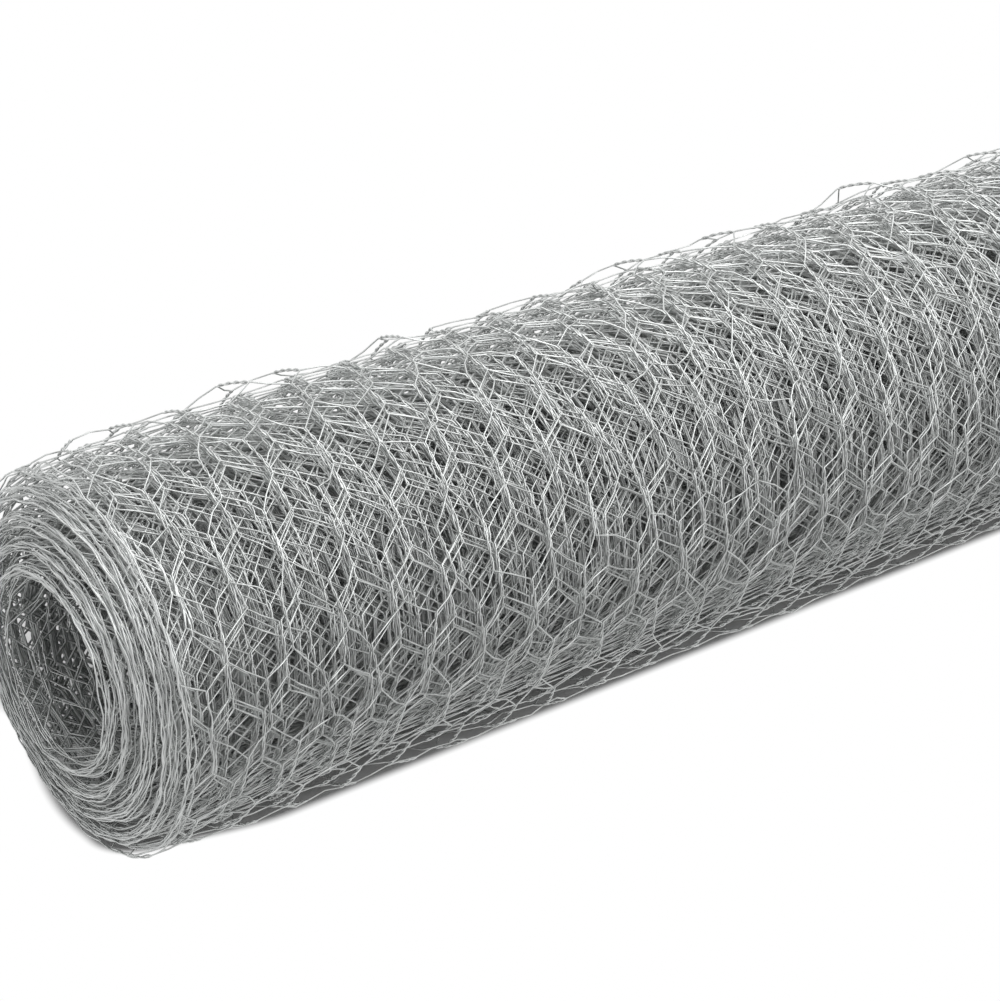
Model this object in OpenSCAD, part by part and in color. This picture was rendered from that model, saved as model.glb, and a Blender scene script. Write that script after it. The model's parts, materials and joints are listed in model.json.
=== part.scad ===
// Roll of hexagonal wire netting (chicken wire), lying on its side.
// One strip of netting is wound turn over turn around an open bore. Millimetres.
// The axis lies along X, the floor is Z = 0, and the end with the proud inner turns is at -X.

/* [Netting strip] */
// Width of the strip, which is the length of every turn
strip_w = 1000; // [300:50:1800]
// Diameter of the galvanised wire
wire_d = 0.65; // [0.5:0.05:1.6]

/* [Winding] */
// Diameter of the open bore inside the innermost turn
bore_d = 71; // [40:1:160]
// Number of turns from the bore to the outside
turns = 41; // [10:1:60]
// How far the twists of one turn sink into the meshes of the turn below
turn_nest = 0.15; // [0:0.05:0.3]

/* [Ends] */
// How far the innermost turn stands out past the outermost one
telescope = 12.6; // [0:0.2:40]
// How far single turns stray along the axis from the even slope of the end
edge_stray = 1.1; // [0:0.1:4]
// How much less the radius is at the rim, where the selvedges wind tighter
rim_draw = 3.4; // [0:0.2:6]
// Length over which the outside is drawn in towards each rim
rim_draw_len = 84; // [20:2:140]

/* [Hidden] */
$fn = 180;

// A twist is two wires thick, so each turn adds two wires, less what sinks in.
wires_per_twist = 2;
turn_pitch = wires_per_twist * wire_d - turn_nest;
bore_r = bore_d / 2;
roll_r = bore_r + turns * turn_pitch;
rim_r = roll_r - rim_draw;
edge_pitch = (rim_r - bore_r) / turns;
edge_groove = wire_d;

// The end is a blunt cone: its slope is gentle at the bore and steeper at the rim.
end_slope_power = 1.5;
// Neighbouring turns stray by angles that never repeat.
stray_step_deg = 137.5;
rim_steps = 8;
zinc_grey = [0.66, 0.68, 0.68];

// Where the edge of turn i lies, from the bore (0) to the outside (turns - 1)
function turn_share(i) = i / (turns - 1);
function land_in_r(i) = bore_r + i * edge_pitch + (i == 0 ? 0 : (edge_pitch - wire_d) / 2);
function land_out_r(i) = bore_r + (i + 1) * edge_pitch - (i == turns - 1 ? 0 : (edge_pitch - wire_d) / 2);
function stray(i) = (i == 0 || i == turns - 1) ? 0 : edge_stray * sin(i * stray_step_deg);
function turn_shift(i) = telescope * (pow(turn_share(i), end_slope_power) - 1 / 2) + stray(i);
function near_x(i) = turn_shift(i) - strip_w / 2;
function far_x(i) = turn_shift(i) + strip_w / 2;

// Each turn shows on the end as a land one wire wide, with a groove to the next turn.
function groove_r(i) = bore_r + (i + 1) * edge_pitch;
function near_groove_x(i) = max(near_x(i), near_x(i + 1)) + edge_groove;
function far_groove_x(i) = min(far_x(i), far_x(i + 1)) - edge_groove;

near_end = [
    for (i = [0 : turns - 1]) each concat(
        [[land_in_r(i), near_x(i)], [land_out_r(i), near_x(i)]],
        i < turns - 1 ? [[groove_r(i), near_groove_x(i)]] : []
    )
];
far_end = [
    for (i = [turns - 1 : -1 : 0]) each concat(
        i < turns - 1 ? [[groove_r(i), far_groove_x(i)]] : [],
        [[land_out_r(i), far_x(i)], [land_in_r(i), far_x(i)]]
    )
];

// The outside runs straight, and curves in to the rim at both ends.
function drawn_r(share) = roll_r - rim_draw * pow(1 - share, 2);
near_shoulder = [
    for (k = [1 : rim_steps]) let (share = k / rim_steps)
        [drawn_r(share), near_x(turns - 1) + rim_draw_len * share]
];
far_shoulder = [
    for (k = [rim_steps : -1 : 1]) let (share = k / rim_steps)
        [drawn_r(share), far_x(turns - 1) - rim_draw_len * share]
];

module wound_section() {
    polygon(concat(near_end, near_shoulder, far_shoulder, far_end));
}

module chicken_wire_roll() {
    color(zinc_grey)
        translate([0, 0, roll_r])
            rotate([0, 90, 0])
                rotate_extrude()
                    wound_section();
}

chicken_wire_roll();
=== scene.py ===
# %% [markdown]
# # A roll of chicken wire
#
# Chicken wire is a strip of hexagonal netting. Thin galvanised wires run along the strip, and each one is
# twisted in turn with its left and its right neighbour. Here fifteen metres of it are wound into a loose
# roll that lies on its side. The measured solid of the roll is loaded first, as a frame that never moves.
# All that this lesson adds is the netting itself, wire by wire, and the light and the floor for a
# picture.

# %% Load the frame
import json
import math

import bpy
import numpy as np
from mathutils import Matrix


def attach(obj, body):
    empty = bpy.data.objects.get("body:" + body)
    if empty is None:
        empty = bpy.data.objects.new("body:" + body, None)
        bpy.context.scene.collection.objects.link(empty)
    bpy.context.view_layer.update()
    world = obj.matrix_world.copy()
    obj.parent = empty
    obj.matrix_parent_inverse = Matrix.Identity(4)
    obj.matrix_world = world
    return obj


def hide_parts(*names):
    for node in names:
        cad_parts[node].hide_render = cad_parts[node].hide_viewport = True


MM = 0.001

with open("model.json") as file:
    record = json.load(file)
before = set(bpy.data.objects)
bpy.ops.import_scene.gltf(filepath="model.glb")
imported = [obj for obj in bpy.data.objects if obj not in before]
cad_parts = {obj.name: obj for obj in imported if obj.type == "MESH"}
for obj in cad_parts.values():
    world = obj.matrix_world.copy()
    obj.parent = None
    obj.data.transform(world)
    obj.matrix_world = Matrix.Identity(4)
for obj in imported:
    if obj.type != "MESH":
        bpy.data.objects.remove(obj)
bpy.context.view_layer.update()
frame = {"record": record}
bpy.ops.object.select_all(action="DESELECT")
solids = [node.name for node in bpy.context.scene.objects if node.type == "MESH"]
print(f"loaded {', '.join(solids)}")

# %% Read the roll's own sizes
bore = frame["record"]["mounts"][0]
bore_r = bore["dims"]["r_mm"] * MM
strip_w = bore["dims"]["length_mm"] * MM
bore_x, _, axis_z = bore["pos_m"]
roll_r = axis_z
print(f"bore {2 * bore_r:.3f} m, roll {2 * roll_r:.3f} m across, strip {strip_w:.3f} m wide")

# %% [markdown]
# ## Camera
#
# The camera stands to the left of the near end and looks down along the roll. A long lens from further
# away flattens the picture, and that keeps the far end of the roll nearly as large as the near one. The
# picture is square to within a pixel, so the lens is worked out from its focal length in picture heights.

# %% Camera
camera_place = (-1.0763, -1.0329, 0.7719)
camera_heading_deg = 37.21
camera_dip_deg = 27.81
focal_in_picture_heights = 3.5554
sensor_mm = 36.0

bpy.ops.object.camera_add(location=camera_place)
camera = bpy.context.object
camera.name = "camera"
camera.rotation_euler = (math.radians(90 - camera_dip_deg), 0, math.radians(-camera_heading_deg))
camera.data.sensor_width = sensor_mm
camera.data.lens = sensor_mm * focal_in_picture_heights
bpy.context.scene.camera = camera
print(f"lens {camera.data.lens:.1f} mm")

# %% [markdown]
# ## Colours and nodes
#
# A colour picked from a picture is an sRGB value, and a shader wants linear light, so one function turns
# the hex values over. A second small function adds a node, sets it and links it, which keeps each
# material down to a few readable lines. An input goes by its name, with underscores for spaces, or by its
# number where several inputs share a name.

# %% Colour helper
def linear(hex_colour):
    """The linear RGBA of an sRGB hex colour such as #C8CCCB."""
    shares = [int(hex_colour[i:i + 2], 16) / 255 for i in (1, 3, 5)]
    lit = [s / 12.92 if s <= 0.04045 else ((s + 0.055) / 1.055) ** 2.4 for s in shares]
    return (*lit, 1.0)

# %% Node helpers
def add_node(tree, kind, settings=None, **inputs):
    """Adds a node with its settings, and sets or links inputs such as From_Min, or i0 for the first."""
    node = tree.nodes.new(kind)
    for name, value in (settings or {}).items():
        setattr(node, name, value)
    for name, value in inputs.items():
        numbered = name[0] == "i" and name[1:].isdigit()
        socket = node.inputs[int(name[1:]) if numbered else name.replace("_", " ")]
        if isinstance(value, bpy.types.NodeSocket):
            tree.links.new(value, socket)
        else:
            socket.default_value = value
    return node


def empty_tree(owner):
    """Turns nodes on for a material or a world and clears them."""
    owner.use_nodes = True
    owner.node_tree.nodes.clear()
    return owner.node_tree

# %% [markdown]
# ## Galvanised wire
#
# The wire is drawn steel that was dipped in molten zinc. Zinc gives a light neutral grey with a satin
# shine: brighter than bare steel, never as sharp as chrome. The coat is uneven, so a cloudy pattern
# shifts the grey by a little, and a finer one shifts the shine. It is a real metal, so the colour sits in
# the reflection, and most of the light and dark in the roll comes from what each wire mirrors. A picture
# of zinc could be wrapped on the wire, but at this size only its tone shows, so two noise patterns do.
# The coat is made twice: a plain one for the outer turns and the edges, and a darker copy for the turns
# inside, whose darker grey is painted shade for the shadow deep in the roll.

# %% Galvanised wire material
cloud_mm = 9.0
cloud_from, cloud_to = 0.35, 0.65
# The grain of a dipped coat is finer than half a millimetre, too fine to show, so it is drawn coarser
grain_mm = 1.6
smoothest, roughest = 0.46, 0.66


def zinc_coat(name, bright, dull):
    """Galvanised wire whose grey drifts between two values."""
    zinc = bpy.data.materials.new(name)
    tree = empty_tree(zinc)
    where = add_node(tree, "ShaderNodeTexCoord").outputs["Object"]
    clouds = add_node(tree, "ShaderNodeTexNoise", Vector=where, Scale=1 / (cloud_mm * MM), Detail=2.0)
    grain = add_node(tree, "ShaderNodeTexNoise", Vector=where, Scale=1 / (grain_mm * MM), Detail=1.0)
    patchy = add_node(tree, "ShaderNodeMapRange", Value=clouds.outputs["Fac"],
                      From_Min=cloud_from, From_Max=cloud_to)
    grey = add_node(tree, "ShaderNodeMix", {"data_type": "RGBA"}, i0=patchy.outputs["Result"],
                    i6=linear(dull), i7=linear(bright))
    shine = add_node(tree, "ShaderNodeMapRange", Value=grain.outputs["Fac"],
                     To_Min=smoothest, To_Max=roughest)
    metal = add_node(tree, "ShaderNodeBsdfPrincipled", Base_Color=grey.outputs[2], Metallic=1.0,
                     Roughness=shine.outputs["Result"])
    add_node(tree, "ShaderNodeOutputMaterial", Surface=metal.outputs["BSDF"])
    print(f"made {zinc.name}")
    return zinc


# The second, darker coat is painted shade: the turns inside are drawn darker than zinc is, for the shadow
# deep in the roll
plain_zinc = zinc_coat("galvanised_wire_plain", bright="#D8DAD9", dull="#C1C3C2")
shaded_zinc = zinc_coat("galvanised_wire_painted_shade", bright="#CBCDCC", dull="#B6B8B7")

# %% [markdown]
# ## The netting as a flat strip
#
# Before it is wound, the strip is a plain repeating pattern. Call the long way "along" and the short way
# "across". In every row each wire is twisted with one neighbour, and in the next row with the other one,
# so between two rows it crosses over by half a mesh. That gives the hexagons.

# %% Sizes of the netting
wire_d = 0.65 * MM
row_height = 31.0 * MM
twist_length = 21.0 * MM
wires = 79
column_gap = strip_w / wires
# Half the distance between the two strands of a tight twist: half a wire, and a little air
strand_r = 0.58 * wire_d
print(f"mesh {2 * column_gap / MM:.1f} mm wide, {wires} wires")

# %% [markdown]
# ## Winding it up
#
# A wound strip follows a spiral whose radius grows by one turn's thickness in every turn. The distance
# along a spiral is a quadratic in the turn number, so the turn at any distance has a closed form, and
# numpy places thousands of points at once. Angles run from the top of the roll over the front, and the
# end of the strip lies at the back, a little below the middle.

# %% The even spiral
turns = 41
tail_angle = math.radians(257)
first_r = bore_r + wire_d
last_r = roll_r - wire_d
turn_pitch = (last_r - first_r) / turns


def along_at(turn):
    """Distance along the strip, from its inner end, at a turn number."""
    return math.pi * turn * (2 * first_r + turn_pitch * turn)


def turn_at(along):
    """Turn number at a distance along the strip."""
    return (np.sqrt(first_r ** 2 + turn_pitch * along / math.pi) - first_r) / turn_pitch


rows = int(along_at(turns) / row_height)
print(f"strip {along_at(turns):.2f} m long, {rows} rows")

# %% [markdown]
# ## How a real roll departs from the spiral
#
# First, the turns slide along each other, so the near end is a blunt cone with stray edges, and the far
# end is hollow. The slide is a smooth slope from turn to turn. The strays are a few sines whose lengths
# don't fit each other, which look random and yet are the same in every run.

# %% Slid turns
telescope = -2 * bore_x
end_slope_power = 1.5
stray = 1.0 * MM
stray_sines = [(1.0, 0.19, 0.0), (0.8, 0.618, 1.0), (0.6, 1.37, 2.0), (0.4, 3.21, 4.0)]


def sines(angle, parts):
    """A sum of sines of multiples of an angle: the size, multiple and start of each."""
    return sum(size * np.sin(multiple * angle + start) for size, multiple, start in parts)


def turn_shift(turn):
    """How far a turn has slid along the axis."""
    share = np.clip(turn / turns, 0, 1)
    return telescope * (share ** end_slope_power - 0.5) + stray * sines(2 * np.pi * turn, stray_sines)


print(f"turns slide from {turn_shift(0) / MM:.1f} to {turn_shift(turns) / MM:.1f} mm along the axis")

# %% [markdown]
# Second, the columns of twists settle into each other. In the outer turns they lie nearly in line, which
# shows as bands round the roll, and in the inner turns they wander. At the edges nothing wanders, because
# there the slide of the turns is what shows.

# %% Columns in line outside and out of line inside
wander_size = 5.0 * MM
# The size of each wave, its length across the strip and the share of it that a turn shifts it by
wander_waves = [(1.0, 310 * MM, 0.618), (0.6, 137 * MM, 0.382)]
wander_edge = 22 * MM
lined_up_turn = 24
lines_up_over = 6
outer_share = 0.15


def edge_distance(across):
    """Distance to the nearer edge of the strip."""
    return np.abs(np.minimum(across, strip_w - across))


def column_wander(turn, across):
    """How far a column of twists lies off the same column in other turns, away from the edges."""
    freed = 1 - np.exp(-edge_distance(across) / wander_edge)
    deep = np.interp(turn, [lined_up_turn - lines_up_over, lined_up_turn], [1, outer_share])
    wave = sum(size * np.sin(2 * np.pi * (across / length + shift * turn))
               for size, length, shift in wander_waves)
    back_in_line = (1 - deep) / (1 - outer_share) * (turn_shift(lined_up_turn) - turn_shift(turn))
    return freed * (wander_size * deep * wave + back_in_line)


print(f"columns are in line from turn {lined_up_turn} outwards")

# %% [markdown]
# Third, the edges wind tighter than the middle, and they gather in bundles with gaps between them. A saw
# tooth over the turns gives a bundle: its turns close up one by one and then part at once. Three sines
# come near enough to it. Where two bundles part, the edge is also pulled back a little along the axis.

# %% Tight edges in bundles
rim_draw = 3.4 * MM
rim_draw_length = 84 * MM
bundle_length = 20 * MM
bundle_turns = 9.5
bundle_gap = 1.2 * MM
bundle_drift = [(1.1, 1, 0.6), (0.5, 2, 1.5)]
saw_tooth = [(1, 1, 0), (1 / 2, 2, 0), (1 / 3, 3, 0)]
strength_mean, strength_change, strength_turns = 0.7, 0.3, 23
# Single edges stray from their bundle by this much
strand_gap = 0.3 * MM
strand_turns = 3.1
strand_drift = [(2.0, 2, 1.0)]
strand_sines = [(1.0, 2.37, 0.0), (0.6, 3.61, 1.0)]


def bundle_phase(turn, angle):
    """Where a turn lies in its bundle: the bundles shift and part as they go round the roll."""
    return 2 * np.pi * turn / bundle_turns + sines(angle, bundle_drift)


def rim_offset(turn, angle, across):
    """How far a turn is drawn in near the two edges of the strip, with its bundle's share."""
    edge = edge_distance(across)
    near_rim = np.clip(1 - edge / rim_draw_length, 0, 1) ** 2
    strength = strength_mean + strength_change * np.sin(2 * angle + 2 * np.pi * turn / strength_turns)
    parted = bundle_gap * strength * sines(bundle_phase(turn, angle), saw_tooth)
    parted = parted + strand_gap * np.sin(2 * np.pi * turn / strand_turns + sines(angle, strand_drift))
    parted = parted + strand_gap * sines(2 * np.pi * turn, strand_sines)
    parted = parted * np.exp(-edge / bundle_length) * np.clip(turn, 0, 1)
    return rim_draw * near_rim * turn / turns - parted


print(f"about {turns / bundle_turns:.0f} bundles from the bore to the outside")

# %% Edges pulled back between bundles
bundle_recess = 3.0 * MM
recess_power = 3


def recess(turn, angle, across):
    """How far the edge of a turn is pulled back along the axis where two bundles part."""
    between = (0.5 + 0.5 * np.cos(bundle_phase(turn, angle))) ** recess_power
    inward = np.sign(strip_w / 2 - across)
    return bundle_recess * between * np.exp(-edge_distance(across) / bundle_length) * inward


print(f"edges between bundles are pulled back by up to {bundle_recess / MM:.1f} mm")

# %% [markdown]
# Last, the outer turns are loose. They stand off the rest at the top, more so away from the near end, and
# they hang away from it low down at the front, where one looks through their open meshes into the shade.
# The outside of the roll stays where it was measured, so it is the turns under the loose ones that move
# in.

# %% The gap under the loose turns
loose_all_round = 0.5 * MM
loose_top_near = 1.8 * MM
loose_top_far = 4.4 * MM
near_until = 120 * MM
far_after = 450 * MM
loose_low_front = 7.8 * MM
low_front_edge = 110 * MM
# The middle and the half width of each hump, in degrees from the top over the front
top_hump = (-8, 80)
low_front_hump = (138, 55)
floor_hump = (180, 50)


def hump(angle, middle_deg, half_width_deg):
    """A smooth rise from 0 to 1 and back, around an angle."""
    away = (np.degrees(angle) - middle_deg + 180) % 360 - 180
    return 0.5 + 0.5 * np.cos(np.pi * np.clip(away / half_width_deg, -1, 1))


def far_share(across):
    """How much of the far part's looseness a place has, from 0 near the near end to 1."""
    return np.clip((across - near_until) / (far_after - near_until), 0, 1)


def loose_gap(angle, across):
    """How far the last turn stands off the tight turns."""
    at_top = loose_top_near + (loose_top_far - loose_top_near) * far_share(across)
    low = loose_low_front * np.clip(edge_distance(across) / low_front_edge, 0, 1)
    gap = loose_all_round * (1 - hump(angle, *floor_hump))
    return gap + at_top * hump(angle, *top_hump) + low * hump(angle, *low_front_hump)


near_gap = loose_gap(0, near_until)
far_gap = loose_gap(0, far_after)
print(f"at the top the last turn stands off by {near_gap / MM:.1f} to {far_gap / MM:.1f} mm")

# %% Loose last turns
# Turns before the end of the strip at which the share of the gap changes
loose_steps = (4, 2.8, 1.7, 0.9, 0.6)
# Shares of the gap that the second turn and the last turn lie in
second_near, second_far = 0.75, 0.55
last_share = 0.03


def loose_offset(turn, angle, across):
    """How far a turn lies inside the even spiral because the last turns stand off it."""
    second = second_near + (second_far - second_near) * far_share(across)
    # The share at each step, from the tight turns to the last one, less what stays in the last one
    shares = np.stack(np.broadcast_arrays(1 - last_share, (1 + second) / 2, second, second / 4, 0))
    steps = [turns - before for before in loose_steps]
    under = np.clip(turn / steps[0], 0, 1)
    for i in range(len(steps) - 1):
        done = np.clip((turn - steps[i]) / (steps[i + 1] - steps[i]), 0, 1)
        under = under + (shares[i + 1] - shares[i]) * done
    return loose_gap(angle, across) * under


print(f"the last {loose_steps[0]} turns are loose")

# %% [markdown]
# With these four, any point of the flat strip has its place in the roll. Nothing sinks into the floor: a
# point that would is set on it, as the roll's own weight does.

# %% From the strip to the roll
def place(along, across, lift):
    """Points in space for points of the strip: distances along and across it, and off its middle."""
    turn = turn_at(along)
    angle = tail_angle + 2 * np.pi * (turn - turns)
    radius = first_r + turn_pitch * turn + lift
    radius = radius - rim_offset(turn, angle, across) - loose_offset(turn, angle, across)
    x = across - strip_w / 2 + turn_shift(turn) + column_wander(turn, across) + recess(turn, angle, across)
    y = -radius * np.sin(angle)
    z = np.maximum(axis_z + radius * np.cos(angle), wire_d / 2)
    return np.stack(np.broadcast_arrays(x, y, z), axis=-1)


_, end_back, end_up = place(along_at(turns), strip_w / 2, 0)
print(f"the strip ends {end_back / MM:.0f} mm behind the axis, {end_up / MM:.0f} mm above the floor")

# %% [markdown]
# ## Tubes along centre lines
#
# A wire is a round tube along its centre line. All wires of a piece share one mesh: every point of every
# line gets a small ring of vertices across the line, and neighbouring rings are joined by quads. A curve
# object with a bevel would do the same, but an array of points is quicker and keeps the count of faces in
# hand. A ring of three corners is enough at this size, made a little larger so that it looks as wide as a
# round wire, and smooth shading hides its edges.

# %% Rings
ring_sides = 3


def unit(vectors):
    """The same directions at length one."""
    return vectors / np.linalg.norm(vectors, axis=-1, keepdims=True)


def rings_along(lines, thickness):
    """Rings of vertices across centre lines: line, point, side, three."""
    steps = unit(np.diff(lines, axis=1))
    forward = np.concatenate([steps[:, :1], steps[:, :-1] + steps[:, 1:], steps[:, -1:]], axis=1)
    forward = unit(forward)
    outward = lines * (0, 1, 1) - (0, 0, axis_z)
    beside = unit(np.cross(forward, outward))
    outward = np.cross(beside, forward)
    angle = 2 * np.pi * np.arange(ring_sides)[:, None] / ring_sides
    # The ring is as long around as the round wire
    ring_r = thickness / 2 * np.pi / (ring_sides * np.sin(np.pi / ring_sides))
    spokes = np.cos(angle) * outward[:, :, None] + np.sin(angle) * beside[:, :, None]
    return lines[:, :, None] + ring_r * spokes

# %% Tubes
def tube_piece(name, lines, thickness, coat):
    """One mesh object of closed tubes along the centre lines: line, point, three."""
    rings = rings_along(lines, thickness)
    number = np.arange(rings[..., 0].size).reshape(rings.shape[:3])
    beside = np.roll(number, -1, axis=2)
    quads = np.stack([number[:, :-1], beside[:, :-1], beside[:, 1:], number[:, 1:]], axis=-1)
    ends = np.concatenate([number[:, 0, ::-1], number[:, -1]])
    mesh = bpy.data.meshes.new(name)
    mesh.from_pydata(rings.reshape(-1, 3).tolist(), [], quads.reshape(-1, 4).tolist() + ends.tolist())
    mesh.shade_smooth()
    mesh.materials.append(coat)
    piece = bpy.data.objects.new(name, mesh)
    bpy.context.collection.objects.link(piece)
    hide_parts("chicken_wire_roll")
    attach(piece, "root")
    return piece

# %% [markdown]
# ## Uneven twists
#
# No net is perfect. Each twist gets a small slip along the strip, a sway across it, a lift off it and a
# lean of its own, and each wire between two twists a bow. They come from a seeded draw, which is the same
# in every run. The last two turns are bent more by handling, and those that stand off at the top are
# ruffled.

# %% Uneven twists
slip_size = 0.8 * MM
sway_size = 0.7 * MM
lift_size = 0.20 * MM
lean_size = 0.05
bow_size = 0.3 * MM
# How many of the last turns are bent more, and by how much more
looser_turns, looser_by = 1.9, 1.4
ruffled_turns, ruffled_by = 3.5, 2.5
twist_seed = 27

draw = np.random.default_rng(twist_seed)
grid = (rows + 1, wires + 1)
row_turn = turn_at(np.arange(rows + 1) * row_height)[:, None]
row_angle = tail_angle + 2 * np.pi * (row_turn - turns)
looser = 1 + looser_by * np.clip(row_turn - (turns - looser_turns), 0, 1)
outside = np.clip(row_turn - (turns - ruffled_turns), 0, 1)
ruffled = looser * (1 + ruffled_by * hump(row_angle, *top_hump) * outside)
slip = draw.normal(0, slip_size, grid) * looser
sway = draw.normal(0, sway_size, grid) * looser
lift = draw.normal(0, lift_size, grid) * ruffled
lean = draw.normal(0, lean_size, grid) * looser
bow = draw.normal(0, bow_size, (rows + 1, wires, 3)) * looser[:, :, None]
wobble = draw.normal(0, 1, (2, rows + 1))
# The two edges of the strip stay straight
sway[:, [0, -1]] = 0
lean[:, [0, -1]] = 0
print(f"twists slip by up to {np.abs(slip).max() / MM:.1f} mm and lift by up to {lift.max() / MM:.1f} mm")


def wobbled(along, size):
    """A smooth random sway and lift of an edge, along the strip."""
    return [size * np.interp(along / row_height, np.arange(rows + 1), one_way) for one_way in wobble]

# %% [markdown]
# ## The twisted wires
#
# Each wire's centre line is worked out on the flat strip and then wound up. In a twist the two strands
# run round each other, and between twists the wire crosses over in a straight line, with a slight bow
# where the turn is seen up close. An Array and a Curve modifier could lay one mesh of the net along a
# spiral, but then all meshes would be alike, and it is the uneven ones that look like wire.

# %% Centre lines of the wires
def wire_lines(wire_numbers, first_row, last_row, twist_steps, twist_turns,
               bowed=0.0, edge_sway=0.0, apart=1.0):
    """Centre lines of wires, from the start of one row up to the start of another."""
    row = np.arange(first_row, last_row + 1)[None, :, None]
    wire = np.asarray(wire_numbers)[:, None, None]
    step = np.linspace(0, 1, twist_steps + 1)[None, None, :]
    to_right = (wire + row) % 2
    column = np.clip(wire + to_right, 0, wires)
    side = apart * strand_r * (1 - 2 * to_right)
    turned = 2 * np.pi * twist_turns * step
    from_middle = twist_length * (step - 0.5)
    along = np.maximum(row * row_height + slip[row, column] + from_middle, 0)
    across = column * column_gap + sway[row, column] + lean[row, column] * from_middle
    edge_across, edge_off = wobbled(along, edge_sway)
    across = across + edge_across + side * np.cos(turned)
    off = lift[row, column] + edge_off + side * np.sin(turned)
    twists = place(along, across, off)
    lines = twists[:, :-1]
    if bowed:
        halfway = [(v[:, :-1, -1] + v[:, 1:, 0]) / 2 for v in (along, across, off)]
        middles = place(*halfway) + bowed * bow[row[:, :-1, 0], wire[:, :, 0] % wires]
        middles[..., 2] = np.maximum(middles[..., 2], wire_d / 2)
        lines = np.concatenate([lines, middles[:, :, None]], axis=2)
    lines = lines.reshape(len(wire_numbers), -1, 3)
    return np.concatenate([lines, twists[:, -1, :1]], axis=1)

# %% A piece of netting
def netting(name, wire_numbers, from_turn, to_turn, thickness=wire_d, coat=plain_zinc, **detail):
    """One piece of netting: some of its wires, over a range of turns. Returns its count of triangles."""
    first_row = int(along_at(from_turn) / row_height)
    last_row = int(along_at(to_turn) / row_height)
    lines = wire_lines(wire_numbers, first_row, last_row, **detail)
    piece = tube_piece(name, lines, thickness, coat)
    triangles = sum(len(face.vertices) - 2 for face in piece.data.polygons)
    print(f"{name}: rows {first_row} to {last_row}, {triangles} triangles")
    return triangles

# %% [markdown]
# ## Netting in groups of turns
#
# The outer turns are seen up close, so they get most of the points and tight, round twists. A little
# deeper only glints of a twist show, and a few points with the strands further apart give those. Deeper
# still the wires only close the gaps with grey: there each twist is one straight step, and the wire is
# drawn thicker than it is, so that it still fills the view. The turns that line the bore show again.

# %% Netting of the outer turns
inner_wires = range(1, wires - 1)
# The turn at which each group starts, from the outside in
last_from = turns - 1
second_from = turns - 3
under_from = turns - 6
middle_from = turns - 14

count = netting("netting_last_turn", inner_wires, last_from, turns,
                twist_steps=12, twist_turns=2, bowed=1.0, apart=1.1)
count += netting("netting_second_turns", inner_wires, second_from, last_from,
                 twist_steps=10, twist_turns=1.5, bowed=1.0, apart=1.3)
count += netting("netting_under_turns", inner_wires, under_from, second_from,
                 twist_steps=6, twist_turns=1.5, apart=1.7)
count += netting("netting_middle_turns", inner_wires, middle_from, under_from,
                 twist_steps=2, twist_turns=1, apart=1.6)

# %% Netting of the turns inside
deep_from = 15
inner_from = 3
# The deep turns take the darker coat, whose grey is painted shade
straight = dict(twist_steps=1, twist_turns=0, thickness=1.6 * wire_d, coat=shaded_zinc)

count += netting("netting_deep_turns", inner_wires, deep_from, middle_from, **straight)
count += netting("netting_inner_turns", inner_wires, inner_from, deep_from, **straight)
# The bore turns take the darker coat of painted shade as well
count += netting("netting_bore_turns", inner_wires, 0, inner_from,
                 twist_steps=5, twist_turns=1.5, apart=1.5, coat=shaded_zinc)

# %% [markdown]
# ## The selvedges
#
# At both edges of the strip one more wire runs straight on, and the outermost wire of the netting is
# twisted with it in every second row. On the ends of the roll these edges are nearly all one sees: 41
# turns of them, side by side. They are curved tightly near the bore, so they get many points in every
# turn.

# %% Selvedges
edge_detail = dict(twist_steps=6, twist_turns=1.0, bowed=0.15, edge_sway=0.25 * MM, apart=1.3)
count += netting("selvedge_near", [-1, 0], 0, turns, **edge_detail)
count += netting("selvedge_far", [wires - 1, wires], 0, turns, **edge_detail)
print(f"{count} triangles in all")

# %% [markdown]
# ## Floor
#
# The roll lies on a sheet of white paper. A cut-out picture of that kind has a pure white ground, with
# only a thin shadow along the roll. So the paper is matt near the roll and burns out to plain white away
# from it. The edge of the matt part follows the roll: it runs under the front, close to where the roll
# touches the paper, draws back a little towards the near end, turns a rounded corner there, and slants
# away behind. In a shader that is the distance past a rounded corner, which the length of a vector gives
# once its negative parts are set to nothing. Behind the roll and past its far end the matt part fades out
# slowly.

# %% Floor
floor_size = 12.0

bpy.ops.mesh.primitive_plane_add(size=floor_size)
floor = bpy.context.object
floor.name = "floor"
paper = bpy.data.materials.new("white_paper_sweep")
tree = empty_tree(paper)
where = add_node(tree, "ShaderNodeTexCoord").outputs["Object"]
spot = add_node(tree, "ShaderNodeSeparateXYZ", i0=where)
along_floor, back = spot.outputs["X"], spot.outputs["Y"]
print(f"floor {floor_size:.0f} m square")

# %% White in front of the roll and past its near end
# The edge of the matt part: its two lines, the corner between them, and the width that it fades over
front_line = -26.5 * MM
near_line = -490 * MM
corner_r = 15 * MM
shadow_edge = 6.5 * MM
# Where and how far the front line draws back, and the near line slants
rise_from, rise_to, rise_by = -420 * MM, -488 * MM, 12 * MM
bend_from, bend_to, bend_by = 10 * MM, 150 * MM, 35 * MM
# Where the matt part fades out behind the roll, and the edge there fades over a greater width
behind_from, behind_to, wider_by = 100 * MM, 285 * MM, 120 * MM
smooth = {"interpolation_type": "SMOOTHSTEP"}
larger = {"operation": "MAXIMUM"}

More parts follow.
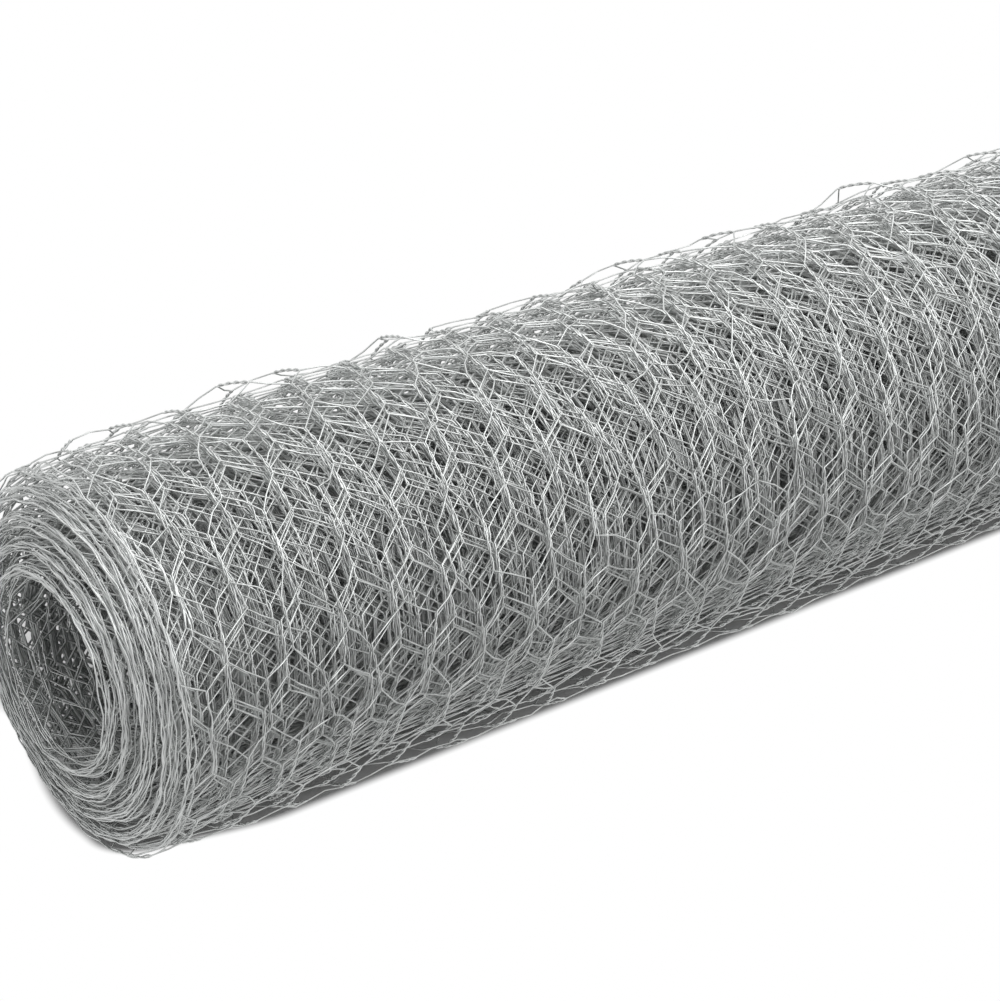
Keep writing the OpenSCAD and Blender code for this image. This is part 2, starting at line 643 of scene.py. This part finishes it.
rise = add_node(tree, "ShaderNodeMapRange", smooth, Value=along_floor,
                From_Min=rise_from, From_Max=rise_to, To_Max=rise_by)
bend = add_node(tree, "ShaderNodeMapRange", smooth, Value=back,
                From_Min=bend_from, From_Max=bend_to, To_Max=bend_by)
shift = add_node(tree, "ShaderNodeCombineXYZ", X=bend.outputs[0], Y=rise.outputs[0])
corner = add_node(tree, "ShaderNodeVectorMath", {"operation": "ADD"}, i0=shift.outputs[0],
                  i1=(near_line + corner_r, front_line + corner_r, 0))
past = add_node(tree, "ShaderNodeVectorMath", {"operation": "SUBTRACT"}, i0=corner.outputs[0], i1=where)
past = add_node(tree, "ShaderNodeVectorMath", larger, i0=past.outputs[0], i1=(0, 0, 0))
past = add_node(tree, "ShaderNodeVectorMath", {"operation": "LENGTH"}, i0=past.outputs[0])
edge_ends = add_node(tree, "ShaderNodeMapRange", Value=back, From_Min=behind_from, From_Max=behind_to,
                     To_Min=corner_r + shadow_edge, To_Max=corner_r + wider_by)
in_front = add_node(tree, "ShaderNodeMapRange", smooth, Value=past.outputs["Value"],
                    From_Min=corner_r, From_Max=edge_ends.outputs[0])
print(f"the paper is matt from {-front_line / MM:.1f} mm in front of the axis")

# %% White behind the roll and past its far end
far_end_from, far_end_to = 300 * MM, 640 * MM

behind = add_node(tree, "ShaderNodeMapRange", smooth, Value=back, From_Min=behind_from, From_Max=behind_to)
far_end = add_node(tree, "ShaderNodeMapRange", smooth, Value=along_floor,
                   From_Min=far_end_from, From_Max=far_end_to)
burnt = add_node(tree, "ShaderNodeMath", larger, i0=in_front.outputs[0], i1=behind.outputs[0])
burnt = add_node(tree, "ShaderNodeMath", larger, i0=burnt.outputs[0], i1=far_end.outputs[0])
print(f"the paper is white from {behind_to / MM:.0f} mm behind the axis")

# %% [markdown]
# The burnt-out white is only for what is seen: straight on, mirrored in a wire, or through something
# clear. For light that bounces about, the paper is an ordinary matt white all over. The Light Path node
# tells these rays apart. The even light of a white room leaves the shadow under the roll too pale, so
# where the matt part is seen, it is drawn in a darker grey than the paper has.

# %% Floor material
floor_white = 0.7
floor_shaded = 0.33
white_light = 1.0

ray = add_node(tree, "ShaderNodeLightPath")
seen = add_node(tree, "ShaderNodeMath", larger, i0=ray.outputs["Is Camera Ray"],
                i1=ray.outputs["Is Glossy Ray"])
seen = add_node(tree, "ShaderNodeMath", larger, i0=seen.outputs[0], i1=ray.outputs["Is Transmission Ray"])
seen_white = add_node(tree, "ShaderNodeMath", {"operation": "MULTIPLY"}, i0=burnt.outputs[0],
                      i1=seen.outputs[0])
paper_grey = add_node(tree, "ShaderNodeMix", {"data_type": "FLOAT"}, i0=seen.outputs[0],
                      i2=floor_white, i3=floor_shaded)
matt = add_node(tree, "ShaderNodeBsdfDiffuse", Color=paper_grey.outputs[0])
plain_white = add_node(tree, "ShaderNodeEmission", Color=(1, 1, 1, 1), Strength=white_light)
mixed = add_node(tree, "ShaderNodeMixShader", i0=seen_white.outputs[0], i1=matt.outputs[0],
                 i2=plain_white.outputs[0])
add_node(tree, "ShaderNodeOutputMaterial", Surface=mixed.outputs[0])
floor.data.materials.append(paper)
print(f"made {paper.name} with {len(tree.nodes)} nodes")

# %% [markdown]
# ## Light
#
# The room is plain white all round, at the strength that shows as white. On its own it would light the
# roll evenly from every side. A wide soft box overhead brightens the top of the roll, and a second one in
# front draws out the wires of the side, which leaves the underside in the shade.

# %% World
world = bpy.data.worlds.new("white_room")
bpy.context.scene.world = world
tree = empty_tree(world)
white = add_node(tree, "ShaderNodeBackground", Color=(1, 1, 1, 1), Strength=white_light)
add_node(tree, "ShaderNodeOutputWorld", Surface=white.outputs["Background"])
print(f"made {world.name}")

# %% Lamps
def soft_box(name, place_at, aim_at, size, watts):
    """A square lamp that faces a point."""
    bpy.ops.object.light_add(type="AREA", location=place_at)
    lamp = bpy.context.object
    lamp.name = name
    lamp.data.size = size
    lamp.data.energy = watts
    toward = np.subtract(aim_at, place_at)
    flat = math.hypot(toward[0], toward[1])
    lamp.rotation_euler = (math.atan2(flat, -toward[2]), 0, math.atan2(toward[1], toward[0]) - math.pi / 2)
    print(f"{name} soft box, {watts} W")


seen_middle = (-0.25, 0, axis_z)
soft_box("overhead", place_at=(0.1, 0.05, 2.2), aim_at=seen_middle, size=1.8, watts=34)
soft_box("front", place_at=(-0.35, -1.6, 1.6), aim_at=seen_middle, size=1.4, watts=23)

# %% [markdown]
# ## Picture settings
#
# The Standard view transform shows colours as they are written.

# %% Picture settings
bpy.context.scene.view_settings.view_transform = "Standard"
